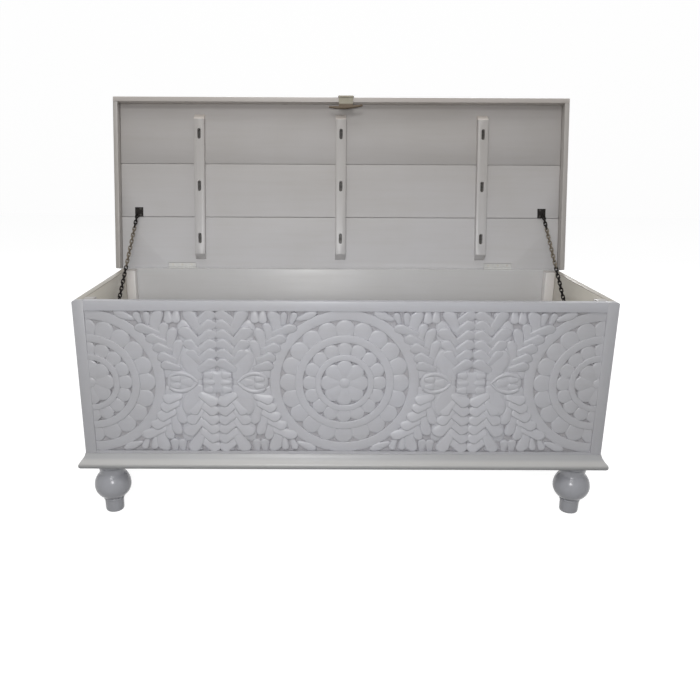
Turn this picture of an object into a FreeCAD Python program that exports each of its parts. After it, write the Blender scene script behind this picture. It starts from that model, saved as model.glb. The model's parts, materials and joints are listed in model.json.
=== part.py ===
import FreeCAD, Part
import math
import os

# A carved and painted wooden trunk on turned feet, its lid open on two stay chains.
# Millimetres, +Z up, the front faces -Y, and the trunk stands on Z = 0.
# The origin lies midway between the moulding's nose and the open lid's rear edge.

Vector = FreeCAD.Vector
X_AXIS = Vector(1, 0, 0)
Y_AXIS = Vector(0, 1, 0)
Z_AXIS = Vector(0, 0, 1)
SIDES = {"left": -1, "right": 1}

# Body
body_width = 1200.0
body_depth = 430.0
body_height = 397.0
wall_thickness = 18.0
corner_post_size = 25.0
cut_overrun = 5.0

# Front frame and carved panel
stile_width = 25.0
top_rail_height = 22.0
bottom_rail_height = 41.0
panel_tongue_depth = 6.0
panel_tongue_thickness = 5.0
panel_tongue_setback = 11.0
groove_clearance = 0.2
relief_setback = 1.0
relief_depth = 8.0

# Carved medallions, their radii as shares of half the panel's height
medallion_share = 1.018
outer_band_inner_share = 0.875
middle_band_shares = (0.57, 0.66)
inner_band_shares = (0.32, 0.39)
boss_share = 0.08
outer_petal_count = 20
middle_petal_count = 16
inner_petal_count = 8
petal_fill_share = 0.72
petal_margin = 3.0

# Carved leaf fields
leaf_gap = 2.5
vein_half_width = 3.0
vein_end_margin = 14.0
leaf_pitch = 21.0
leaf_pair_count = 6
leaf_length = 34.0
leaf_width = 13.0
leaf_stem_gap = 6.0
leaf_rise_angle = 48.0
spray_leaf_count = 8
spray_start_angle = 6.0
spray_step_angle = 5.6
spray_gap = 10.0
spray_leaf_length = 36.0
spray_leaf_width = 11.0
spray_lean_angle = 38.0

# Floor
floor_thickness = 12.0
ledger_height = 22.0
ledger_width = 20.0

# Base moulding, its outline as shares of its projection and height
moulding_projection = 15.5
moulding_height = 35.0
moulding_foot_share = 0.62
moulding_under_nose_shares = (0.91, 0.09)
moulding_nose_height_share = 0.26
moulding_nose_bulge_shares = (0.95, 0.36)
moulding_nose_top_shares = (0.8, 0.45)
moulding_cove_mid_shares = (0.4, 0.66)
moulding_lip_share = 0.03

# Turned feet
foot_height = 132.0
foot_inset = 44.0
foot_bottom_radius = 21.2
foot_toe_edge = 2.5
foot_waist_radius = 21.8
foot_waist_height = 26.0
foot_stem_radius = 25.5
foot_ball_radius = 43.0
foot_ball_height = 71.0
foot_neck_radius = 27.0
foot_collar_radius = 35.0
foot_collar_height = 16.0
foot_collar_edge = 4.0
foot_tenon_radius = 11.0
foot_tenon_length = 16.0
foot_tenon_clearance = 0.05
foot_block_size = 84.0

# Lid
open_angle = 102.0
lid_gap = 0.6
plank_thickness = 18.0
rear_plank_share = 0.307
middle_plank_share = 0.328
plank_joint_gap = 0.4
skirt_thickness = 12.5
skirt_clearance = 1.0
skirt_front_clearance = 8.0
skirt_drop = 24.0
lid_rear_overhang = 7.0

# Battens across the lid's planks
batten_width = 28.0
batten_thickness = 18.0
batten_place_share = 0.64
batten_rear_inset = 19.0
batten_front_inset = 27.5
batten_end_slope = 14.0
batten_slot_length = 28.0
batten_slot_width = 9.0
batten_slot_depth = 11.0
batten_slot_place_shares = (0.145, 0.505, 0.86)
batten_screw_head_radius = 4.0
batten_screw_head_height = 2.5
batten_screw_radius = 2.0
batten_screw_length = 17.0

# Butt hinges
hinge_length = 76.0
hinge_place_share = 0.727
leaf_plate_thickness = 1.5
leaf_plate_width = 10.0
barrel_radius = 3.1
barrel_offset = 3.5
barrel_clearance = 0.5
knuckle_count = 5
knuckle_gap = 0.2
hinge_pin_radius = 1.6
pin_clearance = 0.05
hinge_screw_spacing = 26.0

# Countersunk screws of the hinges, chain plates and wall plates
screw_head_radius = 3.0
screw_head_height = 1.5
screw_radius = 1.5
screw_length = 12.0
screw_clearance = 0.1

# Stay chains
chain_plate_width = 22.0
chain_plate_height = 25.0
chain_plate_thickness = 1.5
chain_plate_inset = 29.0
chain_plate_rise = 148.0
chain_eye_inset = 25.0
chain_eye_rise = 142.0
chain_eye_radius = 3.9
chain_wire_radius = 1.5
chain_wire_gap = 0.3
chain_link_half_width = 3.75
chain_pitch = 10.7
chain_lean_angle = 44.3
links_per_stretch = 4
stretch_count = 7
end_ring_pitch = 34.5
end_ring_half_width = 6.0
stud_radius = 2.25
stud_ring_gap = 0.4
stud_reach = 10.5
stud_head_gap = 5.6
stud_head_radius = 6.0
stud_head_thickness = 2.5
chain_screw_spacing = 17.0

# Drop pull on the lid's front skirt, a little to the right of its middle
pull_offset = 12.0
pull_plate_width = 38.0
pull_plate_height = 28.0
pull_plate_thickness = 2.0
pull_pivot_drop = 6.5
pull_barrel_radius = 3.0
pull_pin_radius = 1.5
pull_pin_head_radius = 2.4
pull_pin_head_length = 1.5
pull_knuckle_width = 13.0
pull_knuckle_gap = 0.3
pull_screw_spacing = 20.0
pull_arm_length = 23.6
pull_arm_thickness = 3.0
grip_length = 90.0
grip_radius = 3.9
grip_end_radius = 2.4
grip_sag = 3.6
grip_tilt_angle = 3.0
grip_middle_radius = 4.3
grip_middle_length = 12.0

# Places that follow from the sizes
body_bottom = foot_height
rim = body_bottom + body_height
half_width = body_width / 2
cos_open = math.cos(math.radians(open_angle))
sin_open = math.sin(math.radians(open_angle))
hinge_rise = lid_gap / 2
lid_rear_reach = (
    barrel_offset
    - (body_depth + skirt_front_clearance + skirt_thickness + barrel_offset) * cos_open
    + (lid_gap + plank_thickness - hinge_rise) * sin_open
)
front_y = (moulding_projection - body_depth - lid_rear_reach) / 2
back_y = front_y + body_depth
inner_x = half_width - wall_thickness
inner_front_y = front_y + wall_thickness
inner_back_y = back_y - wall_thickness
panel_half_width = half_width - stile_width
panel_bottom = body_bottom + bottom_rail_height
panel_top = rim - top_rail_height
panel_middle = (panel_bottom + panel_top) / 2
panel_half_height = (panel_top - panel_bottom) / 2
medallion_radius = medallion_share * panel_half_height
floor_top = body_bottom + ledger_height + floor_thickness
plank_bottom = rim + lid_gap
plank_top = plank_bottom + plank_thickness
lid_inner_x = half_width + skirt_clearance
lid_outer_x = lid_inner_x + skirt_thickness
lid_inner_front_y = front_y - skirt_front_clearance
lid_outer_front_y = lid_inner_front_y - skirt_thickness
skirt_bottom = rim - skirt_drop
lid_rear_y = back_y + lid_rear_overhang
batten_spacing = batten_place_share * half_width
hinge_centre = hinge_place_share * half_width
chain_plate_centre = inner_x - chain_plate_inset
chain_eye_centre = inner_x - chain_eye_inset
hinge_point = Vector(0, back_y + barrel_offset, rim + hinge_rise)


def block(x_low, x_high, y_low, y_high, z_low, z_high):
    corner = Vector(x_low, y_low, z_low)
    return Part.makeBox(x_high - x_low, y_high - y_low, z_high - z_low, corner)


def prism(points, direction):
    return Part.Face(Part.makePolygon(points + points[:1])).extrude(direction)


def rod(radius, start, end):
    axis = end - start
    return Part.makeCylinder(radius, axis.Length, start, axis)


def fused(shapes):
    return shapes[0].fuse(shapes[1:]).removeSplitter()


def opened(shape):
    """The shape, made on the closed lid, turned back with the lid."""
    turned = shape.copy()
    turned.rotate(hinge_point, X_AXIS, -open_angle)
    return turned


def opened_point(point):
    turn = FreeCAD.Rotation(X_AXIS, -open_angle)
    return hinge_point + turn.multVec(point - hinge_point)


def countersunk_screw(seat, inward, clearance=0.0):
    """A screw whose head is flush with the surface at seat."""
    head = Part.makeCone(screw_head_radius + clearance, screw_radius + clearance, screw_head_height, seat, inward)
    shank = Part.makeCylinder(screw_radius + clearance, screw_length + clearance, seat, inward)
    return fused([head, shank])


def drilled(shape, seats, inward):
    holes = [countersunk_screw(seat, inward, screw_clearance) for seat in seats]
    return shape.cut(holes)


# Front frame


def grooved(rail):
    """The rail with the groove that holds the carved panel's tongue."""
    reach = panel_tongue_depth + groove_clearance
    tongue_y = front_y + panel_tongue_setback
    groove = block(
        -panel_half_width - reach,
        panel_half_width + reach,
        tongue_y - groove_clearance,
        tongue_y + panel_tongue_thickness + groove_clearance,
        panel_bottom - reach,
        panel_top + reach,
    )
    return rail.cut(groove)


def front_rail(z_low, z_high):
    return grooved(block(-panel_half_width, panel_half_width, front_y, inner_front_y, z_low, z_high))


def front_stile(side):
    edges = sorted((side * panel_half_width, side * half_width))
    return grooved(block(*edges, front_y, inner_front_y, body_bottom, rim))


# Carved panel


def panel_point(x, z):
    return Vector(x, front_y + relief_setback, z)


def circle_point(centre_x, radius, angle):
    return panel_point(centre_x + radius * math.cos(angle), panel_middle + radius * math.sin(angle))


def arc(centre_x, radius, start, end):
    points = [circle_point(centre_x, radius, angle) for angle in (start, (start + end) / 2, end)]
    return Part.Arc(*points).toShape()


def line(start, end):
    return Part.LineSegment(start, end).toShape()


def lens(root, angle, length, width):
    """A pointed leaf outline from its root, made of two arcs."""
    along = Vector(math.cos(angle), 0, math.sin(angle))
    across = Vector(-math.sin(angle), 0, math.cos(angle)) * (width / 2)
    tip = root + along * length
    middle = root + along * (length / 2)
    first = Part.Arc(root, middle + across, tip).toShape()
    second = Part.Arc(tip, middle - across, root).toShape()
    return Part.Wire([first, second])


def petal_ring(centre_x, inner, outer, count, first_angle, petals):
    """Pointed petals set round a medallion between two radii."""
    length = outer - inner - 2 * petal_margin
    width = petal_fill_share * 2 * math.pi * (inner + petal_margin + length / 2) / count
    step = 2 * math.pi / count
    angles = [first_angle + step * (index + 1 / 2) for index in range(petals)]
    return [lens(circle_point(centre_x, inner + petal_margin, a), a, length, width) for a in angles]


def medallion_rows():
    """The sunk rows between a medallion's bands as inner radius, outer radius and petal count."""
    shares = (
        (middle_band_shares[1], outer_band_inner_share, outer_petal_count),
        (inner_band_shares[1], middle_band_shares[0], middle_petal_count),
        (boss_share, inner_band_shares[0], inner_petal_count),
    )
    return [(inner * panel_half_height, outer * panel_half_height, count) for inner, outer, count in shares]


def sunk_face(outline, islands):
    return Part.makeFace([outline] + islands, "Part::FaceMakerBullseye")


def full_medallion_pockets():
    faces = []
    for inner, outer, count in medallion_rows():
        rim_wire = Part.Wire([arc(0, outer, 0, math.pi), arc(0, outer, math.pi, 2 * math.pi)])
        hub_wire = Part.Wire([arc(0, inner, 0, math.pi), arc(0, inner, math.pi, 2 * math.pi)])
        petals = petal_ring(0, inner, outer, count, 0, count)
        faces.append(sunk_face(rim_wire, [hub_wire] + petals))
    return faces


def half_medallion_pockets(side):
    """The half medallion at one end of the panel, seen as if cut by the stile."""
    centre = side * panel_half_width
    first = math.pi / 2 if side > 0 else -math.pi / 2
    last = first + math.pi
    faces = []
    for inner, outer, count in medallion_rows():
        edges = [
            arc(centre, outer, first, last),
            line(circle_point(centre, outer, last), circle_point(centre, inner, last)),
            arc(centre, inner, last, first),
            line(circle_point(centre, inner, first), circle_point(centre, outer, first)),
        ]
        petals = petal_ring(centre, inner, outer, count, first, count // 2)
        faces.append(sunk_face(Part.Wire(edges), petals))
    return faces


def vein_outline(middle_x):
    reach = panel_half_height - vein_end_margin
    low_x, high_x = middle_x - vein_half_width, middle_x + vein_half_width
    corners = [(low_x, -reach), (high_x, -reach), (high_x, reach), (low_x, reach)]
    points = [panel_point(x, panel_middle + z) for x, z in corners]
    return Part.makePolygon(points + points[:1])


def vein_leaves(middle_x):
    """Pairs of leaves that climb and hang from the middle of a field."""
    rise = math.radians(leaf_rise_angle)
    leaves = []
    for upward in (-1, 1):
        for level in range(leaf_pair_count):
            height = panel_middle + upward * leaf_pitch * (level + 1 / 4)
            for side in (-1, 1):
                root = panel_point(middle_x + side * leaf_stem_gap, height)
                angle = upward * (rise if side > 0 else math.pi - rise)
                leaves.append(lens(root, angle, leaf_length, leaf_width))
    return leaves


def edge_sprays(middle_x):
    """Rows of leaves that follow the medallions on both sides of a field."""
    leaves = []
    lean = math.radians(spray_lean_angle)
    for side in (-1, 1):
        centre = middle_x + side * panel_half_width / 2
        toward_field = math.pi if side > 0 else 0
        turn = -side
        for upward in (-1, 1):
            for index in range(spray_leaf_count):
                offset = math.radians(spray_start_angle + spray_step_angle * index)
                angle = toward_field + turn * upward * offset
                root = circle_point(centre, medallion_radius + spray_gap, angle)
                leaves.append(lens(root, angle + turn * upward * lean, spray_leaf_length, spray_leaf_width))
    return leaves


def inside_field(leaf, field, others):
    """True for a leaf that lies in the field, clear of its edge and of the leaves before it."""
    if any(field.distToShape(corner)[0] > leaf_gap for corner in leaf.Vertexes):
        return False
    return all(leaf.distToShape(other)[0] > leaf_gap for other in others)


def field_pocket(side):
    """The leafy field between the middle medallion and one end's half medallion."""
    rise = math.asin(1 / medallion_share)
    middle_x = side * panel_half_width / 2
    left_x, right_x = sorted((0, side * panel_half_width))
    left = [circle_point(left_x, medallion_radius, angle) for angle in (-rise, rise)]
    right = [circle_point(right_x, medallion_radius, math.pi + angle) for angle in (rise, -rise)]
    edges = [
        arc(left_x, medallion_radius, -rise, rise),
        line(left[1], right[1]),
        arc(right_x, medallion_radius, math.pi - rise, math.pi + rise),
        line(right[0], left[0]),
    ]
    outline = Part.Wire(edges)
    field = Part.Face(outline)
    islands = [vein_outline(middle_x)]
    for leaf in vein_leaves(middle_x) + edge_sprays(middle_x):
        if inside_field(leaf, field, [outline] + islands):
            islands.append(leaf)
    return sunk_face(outline, islands)


def carved_panel():
    body = block(
        -panel_half_width, panel_half_width, front_y + relief_setback, inner_front_y, panel_bottom, panel_top
    )
    tongue_y = front_y + panel_tongue_setback
    tongue = block(
        -panel_half_width - panel_tongue_depth,
        panel_half_width + panel_tongue_depth,
        tongue_y,
        tongue_y + panel_tongue_thickness,
        panel_bottom - panel_tongue_depth,
        panel_top + panel_tongue_depth,
    )
    faces = full_medallion_pockets()
    for side in SIDES.values():
        faces += half_medallion_pockets(side)
        faces.append(field_pocket(side))
    pockets = [face.extrude(Y_AXIS * relief_depth) for face in faces]
    return fused([body, tongue]).cut(pockets)


# Walls and floor


def side_board(side):
    edges = sorted((side * inner_x, side * half_width))
    board = block(*edges, inner_front_y, inner_back_y, body_bottom, rim)
    return drilled(board, wall_screw_seats(side), X_AXIS * side)


def back_board():
    board = block(-half_width, half_width, inner_back_y, back_y, body_bottom, rim)
    for side in SIDES.values():
        board = board.cut(leaf_recess(side, rim - leaf_plate_thickness, rim + cut_overrun))
        board = drilled(board, hinge_screw_seats(side, rim), -Z_AXIS)
    return board


def corner_post(side, at_back):
    x_edges = sorted((side * inner_x, side * (inner_x - corner_post_size)))
    y_low = inner_back_y - corner_post_size if at_back else inner_front_y
    return block(*x_edges, y_low, y_low + corner_post_size, floor_top, rim)


def floor_board():
    return block(-inner_x, inner_x, inner_front_y, inner_back_y, floor_top - floor_thickness, floor_top)


def floor_ledger(at_back):
    y_low = inner_back_y - ledger_width if at_back else inner_front_y
    reach = inner_x - foot_block_size
    return block(-reach, reach, y_low, y_low + ledger_width, body_bottom, body_bottom + ledger_height)


# Base moulding


def moulding_profile(place):
    """The moulding's section, with place giving a point from its reach outward and its height."""

    def at(reach_share, height_share):
        return place(reach_share * moulding_projection, body_bottom + height_share * moulding_height)

    foot = at(moulding_foot_share, 0)
    nose = at(1, moulding_nose_height_share)
    nose_top = at(*moulding_nose_top_shares)
    lip = at(moulding_lip_share, 1)
    edges = [
        line(at(0, 0), foot),
        Part.Arc(foot, at(*moulding_under_nose_shares), nose).toShape(),
        Part.Arc(nose, at(*moulding_nose_bulge_shares), nose_top).toShape(),
        Part.Arc(nose_top, at(*moulding_cove_mid_shares), lip).toShape(),
        line(lip, at(0, 1)),
        line(at(0, 1), at(0, 0)),
    ]
    return Part.Face(Part.Wire(edges))


def mitred(shape, plan):
    """The shape kept inside a plan outline, which cuts its mitres."""
    points = [Vector(x, y, body_bottom) for x, y in plan]
    return shape.common(prism(points, Z_AXIS * moulding_height))


def front_moulding():
    reach = half_width + moulding_projection
    start = -reach
    bar = moulding_profile(lambda out, z: Vector(start, front_y - out, z)).extrude(X_AXIS * 2 * reach)
    nose_y = front_y - moulding_projection
    return mitred(bar, [(-reach, nose_y), (reach, nose_y), (half_width, front_y), (-half_width, front_y)])


def side_moulding(side):
    reach = half_width + moulding_projection
    nose_y = front_y - moulding_projection
    bar = moulding_profile(lambda out, z: Vector(side * (half_width + out), nose_y, z))
    bar = bar.extrude(Y_AXIS * (back_y - nose_y))
    plan = [(half_width, front_y), (reach, nose_y), (reach, back_y), (half_width, back_y)]
    return mitred(bar, [(side * x, y) for x, y in plan])


# Feet


def foot_centre(side, at_back):
    y = back_y - foot_inset if at_back else front_y + foot_inset
    return Vector(side * (half_width - foot_inset), y, 0)


def foot(side, at_back):
    """A turned foot with a ball, a short stem and a tenon for its block."""
    stem_top = foot_ball_height - math.sqrt(foot_ball_radius**2 - foot_stem_radius**2)
    neck_z = foot_ball_height + math.sqrt(foot_ball_radius**2 - foot_neck_radius**2)
    collar_z = foot_height - foot_collar_height
    tenon_top = foot_height + foot_tenon_length
    edge_radius = foot_collar_radius - foot_collar_edge

    def at(radius, z):
        return Vector(radius, 0, z)

    toe = at(foot_bottom_radius, foot_toe_edge)
    waist = at(foot_waist_radius, foot_waist_height)
    stem = at(foot_stem_radius, stem_top)
    edges = [
        line(at(0, 0), at(foot_bottom_radius - foot_toe_edge, 0)),
        line(at(foot_bottom_radius - foot_toe_edge, 0), toe),
        line(toe, waist),
        line(waist, stem),
        Part.Arc(stem, at(foot_ball_radius, foot_ball_height), at(foot_neck_radius, neck_z)).toShape(),
        line(at(foot_neck_radius, neck_z), at(foot_neck_radius, collar_z)),
        line(at(foot_neck_radius, collar_z), at(edge_radius, collar_z)),
        line(at(edge_radius, collar_z), at(foot_collar_radius, collar_z + foot_collar_edge)),
        line(at(foot_collar_radius, collar_z + foot_collar_edge), at(foot_collar_radius, foot_height)),
        line(at(foot_collar_radius, foot_height), at(foot_tenon_radius, foot_height)),
        line(at(foot_tenon_radius, foot_height), at(foot_tenon_radius, tenon_top)),
        line(at(foot_tenon_radius, tenon_top), at(0, tenon_top)),
        line(at(0, tenon_top), at(0, 0)),
    ]
    turned = Part.Face(Part.Wire(edges)).revolve(Vector(), Z_AXIS, 360)
    turned.translate(foot_centre(side, at_back))
    return turned


def foot_block(side, at_back):
    x_edges = sorted((side * inner_x, side * (inner_x - foot_block_size)))
    y_low = inner_back_y - foot_block_size if at_back else inner_front_y
    blank = block(*x_edges, y_low, y_low + foot_block_size, body_bottom, body_bottom + ledger_height)
    centre = foot_centre(side, at_back) + Z_AXIS * body_bottom
    radius = foot_tenon_radius + foot_tenon_clearance
    return blank.cut(Part.makeCylinder(radius, foot_tenon_length + foot_tenon_clearance, centre))


# Lid, made closed and then turned open


def plank_edges():
    """The planks' edges from the lid's rear to its front."""
    lid_depth = back_y - lid_inner_front_y
    rear = back_y - rear_plank_share * lid_depth
    middle = rear - middle_plank_share * lid_depth
    return {"rear": (rear, lid_rear_y), "middle": (middle, rear), "front": (lid_inner_front_y, middle)}


def lid_plank(name):
    front_edge, rear_edge = plank_edges()[name]
    if name != "rear":
        rear_edge -= plank_joint_gap
    plank = block(-lid_inner_x, lid_inner_x, front_edge, rear_edge, plank_bottom, plank_top)
    if name == "rear":
        for side in SIDES.values():
            recess = leaf_recess(side, plank_bottom - cut_overrun, plank_bottom + leaf_plate_thickness)
            plank = plank.cut([recess, barrel_notch(side)])
            plank = drilled(plank, hinge_screw_seats(side, plank_bottom), Z_AXIS)
    for side in SIDES.values():
        plank = drilled(plank, lid_plate_screw_seats(side), Z_AXIS)
    return plank.cut([batten_screw(seat, screw_clearance) for seat in batten_screw_seats()])


def front_skirt():
    skirt = block(-lid_outer_x, lid_outer_x, lid_outer_front_y, lid_inner_front_y, skirt_bottom, plank_top)
    return drilled(skirt, pull_screw_seats(0), Y_AXIS)


def side_skirt(side):
    edges = sorted((side * lid_inner_x, side * lid_outer_x))
    return block(*edges, lid_inner_front_y, lid_rear_y, skirt_bottom, plank_top)


# Battens


def batten_span():
    return lid_inner_front_y + batten_front_inset, back_y - batten_rear_inset


def batten_screw_seats():
    low, high = batten_span()
    seat_z = plank_bottom - batten_thickness + batten_slot_depth
    places = [high - share * (high - low) for share in batten_slot_place_shares]
    return [Vector(x, y, seat_z) for x in (-batten_spacing, 0, batten_spacing) for y in places]


def batten_screw(seat, clearance=0.0):
    radius = batten_screw_head_radius + clearance
    head = Part.makeCylinder(radius, batten_screw_head_height, seat - Z_AXIS * batten_screw_head_height)
    shank = Part.makeCylinder(batten_screw_radius + clearance, batten_screw_length + clearance, seat)
    return fused([head, shank])


def batten_slot(seat):
    """The long pocket in which a batten's screw head can shift as the planks move."""
    start_z = seat.z - batten_slot_depth - cut_overrun
    half = (batten_slot_length - batten_slot_width) / 2
    depth = Z_AXIS * (seat.z - start_z)
    ends = [Vector(seat.x, seat.y + step, start_z) for step in (-half, half)]
    rounds = [rod(batten_slot_width / 2, end, end + depth) for end in ends]
    side = batten_slot_width / 2
    middle = block(seat.x - side, seat.x + side, seat.y - half, seat.y + half, start_z, seat.z)
    return fused(rounds + [middle])


def batten(centre_x):
    low, high = batten_span()
    bottom = plank_bottom - batten_thickness
    x = centre_x - batten_width / 2
    outline = [
        Vector(x, low, plank_bottom),
        Vector(x, low + batten_end_slope, bottom),
        Vector(x, high - batten_end_slope, bottom),
        Vector(x, high, plank_bottom),
    ]
    bar = prism(outline, X_AXIS * batten_width)
    seats = [seat for seat in batten_screw_seats() if seat.x == centre_x]
    cuts = [batten_slot(seat) for seat in seats]
    cuts += [batten_screw(seat, screw_clearance) for seat in seats]
    return bar.cut(cuts)


# Butt hinges


def hinge_screw_seats(side, z):
    x = side * hinge_centre
    y = back_y - leaf_plate_width / 2
    return [Vector(x + step * hinge_screw_spacing, y, z) for step in (-1, 0, 1)]


def leaf_recess(side, z_low, z_high):
    x = side * hinge_centre
    half = hinge_length / 2
    return block(x - half, x + half, back_y - leaf_plate_width, back_y + cut_overrun, z_low, z_high)


def barrel_notch(side):
    """The room for a hinge's barrel under the lid's rear overhang."""
    x = side * hinge_centre
    half = hinge_length / 2 + barrel_clearance
    top = hinge_point.z + barrel_radius + barrel_clearance
    return block(x - half, x + half, back_y, lid_rear_y + cut_overrun, plank_bottom - cut_overrun, top)


def knuckle_edges(side, index):
    width = hinge_length / knuckle_count
    low = side * hinge_centre - hinge_length / 2 + width * index
    return low + knuckle_gap / 2, low + width - knuckle_gap / 2


def hinge_leaf(side, z_low, knuckles):
    """A leaf with its own knuckles round the pin's bore."""
    x = side * hinge_centre
    half = hinge_length / 2
    z_high = z_low + leaf_plate_thickness
    plate = block(x - half, x + half, back_y - leaf_plate_width, back_y, z_low, z_high)
    pieces = [plate]
    for index in knuckles:
        low, high = knuckle_edges(side, index)
        pieces.append(block(low, high, back_y, hinge_point.y, z_low, z_high))
        barrel_start = Vector(low, hinge_point.y, hinge_point.z)
        pieces.append(Part.makeCylinder(barrel_radius, high - low, barrel_start, X_AXIS))
    bore_start = Vector(x - half - cut_overrun, hinge_point.y, hinge_point.z)
    bore = Part.makeCylinder(hinge_pin_radius + pin_clearance, hinge_length + 2 * cut_overrun, bore_start, X_AXIS)
    return fused(pieces).cut(bore)


def box_hinge_leaf(side):
    leaf = hinge_leaf(side, rim - leaf_plate_thickness, range(0, knuckle_count, 2))
    return drilled(leaf, hinge_screw_seats(side, rim), -Z_AXIS)


def lid_hinge_leaf(side):
    leaf = hinge_leaf(side, plank_bottom, range(1, knuckle_count, 2))
    return drilled(leaf, hinge_screw_seats(side, plank_bottom), Z_AXIS)


def hinge_pin(side):
    start = Vector(side * hinge_centre - hinge_length / 2, hinge_point.y, hinge_point.z)
    return Part.makeCylinder(hinge_pin_radius, hinge_length, start, X_AXIS)


# Stay chains: where they run


def chain_eye_point(side):
    """The middle of the lid plate's eye, on the closed lid."""
    z = plank_bottom - chain_plate_thickness - chain_eye_radius
    return Vector(side * chain_eye_centre, back_y - chain_eye_rise, z)


def chain_length():
    full_stretches = (stretch_count - 1) * links_per_stretch * chain_pitch
    return full_stretches + chain_pitch + end_ring_pitch


def chain_direction(side):
    """The taut chain's direction from the lid down to the wall."""
    sideways = side * (inner_x - stud_reach - chain_eye_centre) / chain_length()
    lean = math.radians(chain_lean_angle)
    along = math.sqrt(1 - sideways**2)
    return Vector(sideways, -along * math.sin(lean), -along * math.cos(lean))


def wire_offset():
    return chain_wire_radius + chain_wire_gap / 2


def chain_point(side, distance):
    """A point on the taut chain, measured from where its first link bears on the eye."""
    start = opened_point(chain_eye_point(side)) + chain_direction(side) * (chain_eye_radius - wire_offset())
    return start + chain_direction(side) * distance


def stretch_pivot(index):
    """The hinge line between one stretch of links and the one before it."""
    point = chain_point(-1, index * links_per_stretch * chain_pitch - wire_offset())
    return Vector(0, point.y, point.z)


# Stay chains: their pieces


def lid_plate_screw_seats(side):
    x = side * chain_plate_centre
    y = back_y - chain_plate_rise
    inset = chain_screw_spacing / 2
    z = plank_bottom - chain_plate_thickness
    return [Vector(x - side * inset / 2, y + step * inset, z) for step in (-1, 1)]


def lid_chain_plate(side):
    x = side * chain_plate_centre
    y = back_y - chain_plate_rise
    half_x = chain_plate_width / 2
    half_y = chain_plate_height / 2
    plate = block(x - half_x, x + half_x, y - half_y, y + half_y, plank_bottom - chain_plate_thickness, plank_bottom)
    plate = drilled(plate, lid_plate_screw_seats(side), Z_AXIS)
    eye = Part.makeTorus(chain_eye_radius, chain_wire_radius, chain_eye_point(side), X_AXIS)
    above = block(x - half_x, x + half_x, y - half_y, y + half_y, plank_bottom, plank_top)
    return fused([plate, eye]).cut(above)


def stud_point(side):
    return chain_point(side, chain_length())


def wall_screw_seats(side):
    centre = stud_point(side)
    x = side * (inner_x - chain_plate_thickness)
    return [Vector(x, centre.y, centre.z + step * chain_screw_spacing / 2) for step in (-1, 1)]


def wall_anchor(side):
    """A plate on the side board with the headed stud that the chain's end ring hangs on."""
    centre = stud_point(side)
    x_edges = sorted((side * inner_x, side * (inner_x - chain_plate_thickness)))
    half_y = chain_plate_width / 2
    half_z = chain_plate_height / 2
    plate = block(*x_edges, centre.y - half_y, centre.y + half_y, centre.z - half_z, centre.z + half_z)
    plate = drilled(plate, wall_screw_seats(side), X_AXIS * side)
    foot_end = Vector(side * inner_x, centre.y, centre.z)
    head_start = Vector(centre.x - side * stud_head_gap, centre.y, centre.z)
    head_end = head_start - X_AXIS * side * stud_head_thickness
    return fused([plate, rod(stud_radius, foot_end, head_end), rod(stud_head_radius, head_start, head_end)])


def oval_link(start, end, half_width_of_link):
    """A closed wire link along Z between its end wires, wide along X."""
    low = start + half_width_of_link
    high = end - half_width_of_link
    pieces = [
        Part.makeTorus(half_width_of_link, chain_wire_radius, Vector(0, 0, low), Y_AXIS, -180, 180, 180),
        Part.makeTorus(half_width_of_link, chain_wire_radius, Vector(0, 0, high), Y_AXIS, -180, 180, 180),
    ]
    pieces[0].rotate(Vector(0, 0, low), Y_AXIS, half_turn_from(pieces[0], low))
    pieces[1].rotate(Vector(0, 0, high), Y_AXIS, half_turn_from(pieces[1], high) + 180)
    for x in (-half_width_of_link, half_width_of_link):
        pieces.append(rod(chain_wire_radius, Vector(x, 0, low), Vector(x, 0, high)))
    return fused(pieces)


def half_turn_from(half_ring, centre_z):
    """The turn about Y that brings a half ring's middle to the low side of its centre."""
    middle = half_ring.CenterOfMass - Vector(0, 0, centre_z)
    return math.degrees(math.atan2(-middle.x, -middle.z)) * -1


def placed_link(link, side, distance, quarter_turn):
    direction = chain_direction(side)
    across = (X_AXIS - direction * X_AXIS.dot(direction)).normalize()
    turn = FreeCAD.Rotation(across, direction.cross(across), direction, "ZXY")
    if quarter_turn:
        turn = turn.multiply(FreeCAD.Rotation(Z_AXIS, 90))
    copy = link.copy()
    copy.Placement = FreeCAD.Placement(chain_point(side, distance), turn)
    return copy


def chain_stretch(index):
    """The links of one stretch on both sides, which turn about the same line."""
    link = oval_link(-wire_offset(), chain_pitch + wire_offset(), chain_link_half_width)
    ring_end = end_ring_pitch + stud_radius + stud_ring_gap + chain_wire_radius
    ring = oval_link(-wire_offset(), ring_end, end_ring_half_width)
    start = index * links_per_stretch * chain_pitch
    links = []
    for side in SIDES.values():
        if index < stretch_count - 1:
            for place in range(links_per_stretch):
                links.append(placed_link(link, side, start + place * chain_pitch, place % 2 == 1))
        else:
            links.append(placed_link(link, side, start, False))
            links.append(placed_link(ring, side, start + chain_pitch, True))
    return Part.makeCompound(links)


# Drop pull


def pull_pivot():
    """The pull's pin line on the closed lid, level with the skirt's outer face and below its edge."""
    return Vector(pull_offset, lid_outer_front_y, skirt_bottom - pull_pivot_drop)


def pull_screw_seats(step_out):
    y = lid_outer_front_y - step_out
    z = skirt_bottom + pull_plate_height / 2
    return [Vector(pull_offset + side * pull_screw_spacing / 2, y, z) for side in (-1, 1)]


def pull_bore(pivot, clearance):
    start = pivot - X_AXIS * (pull_plate_width / 2 + cut_overrun)
    return Part.makeCylinder(pull_pin_radius + clearance, pull_plate_width + 2 * cut_overrun, start, X_AXIS)


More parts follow.
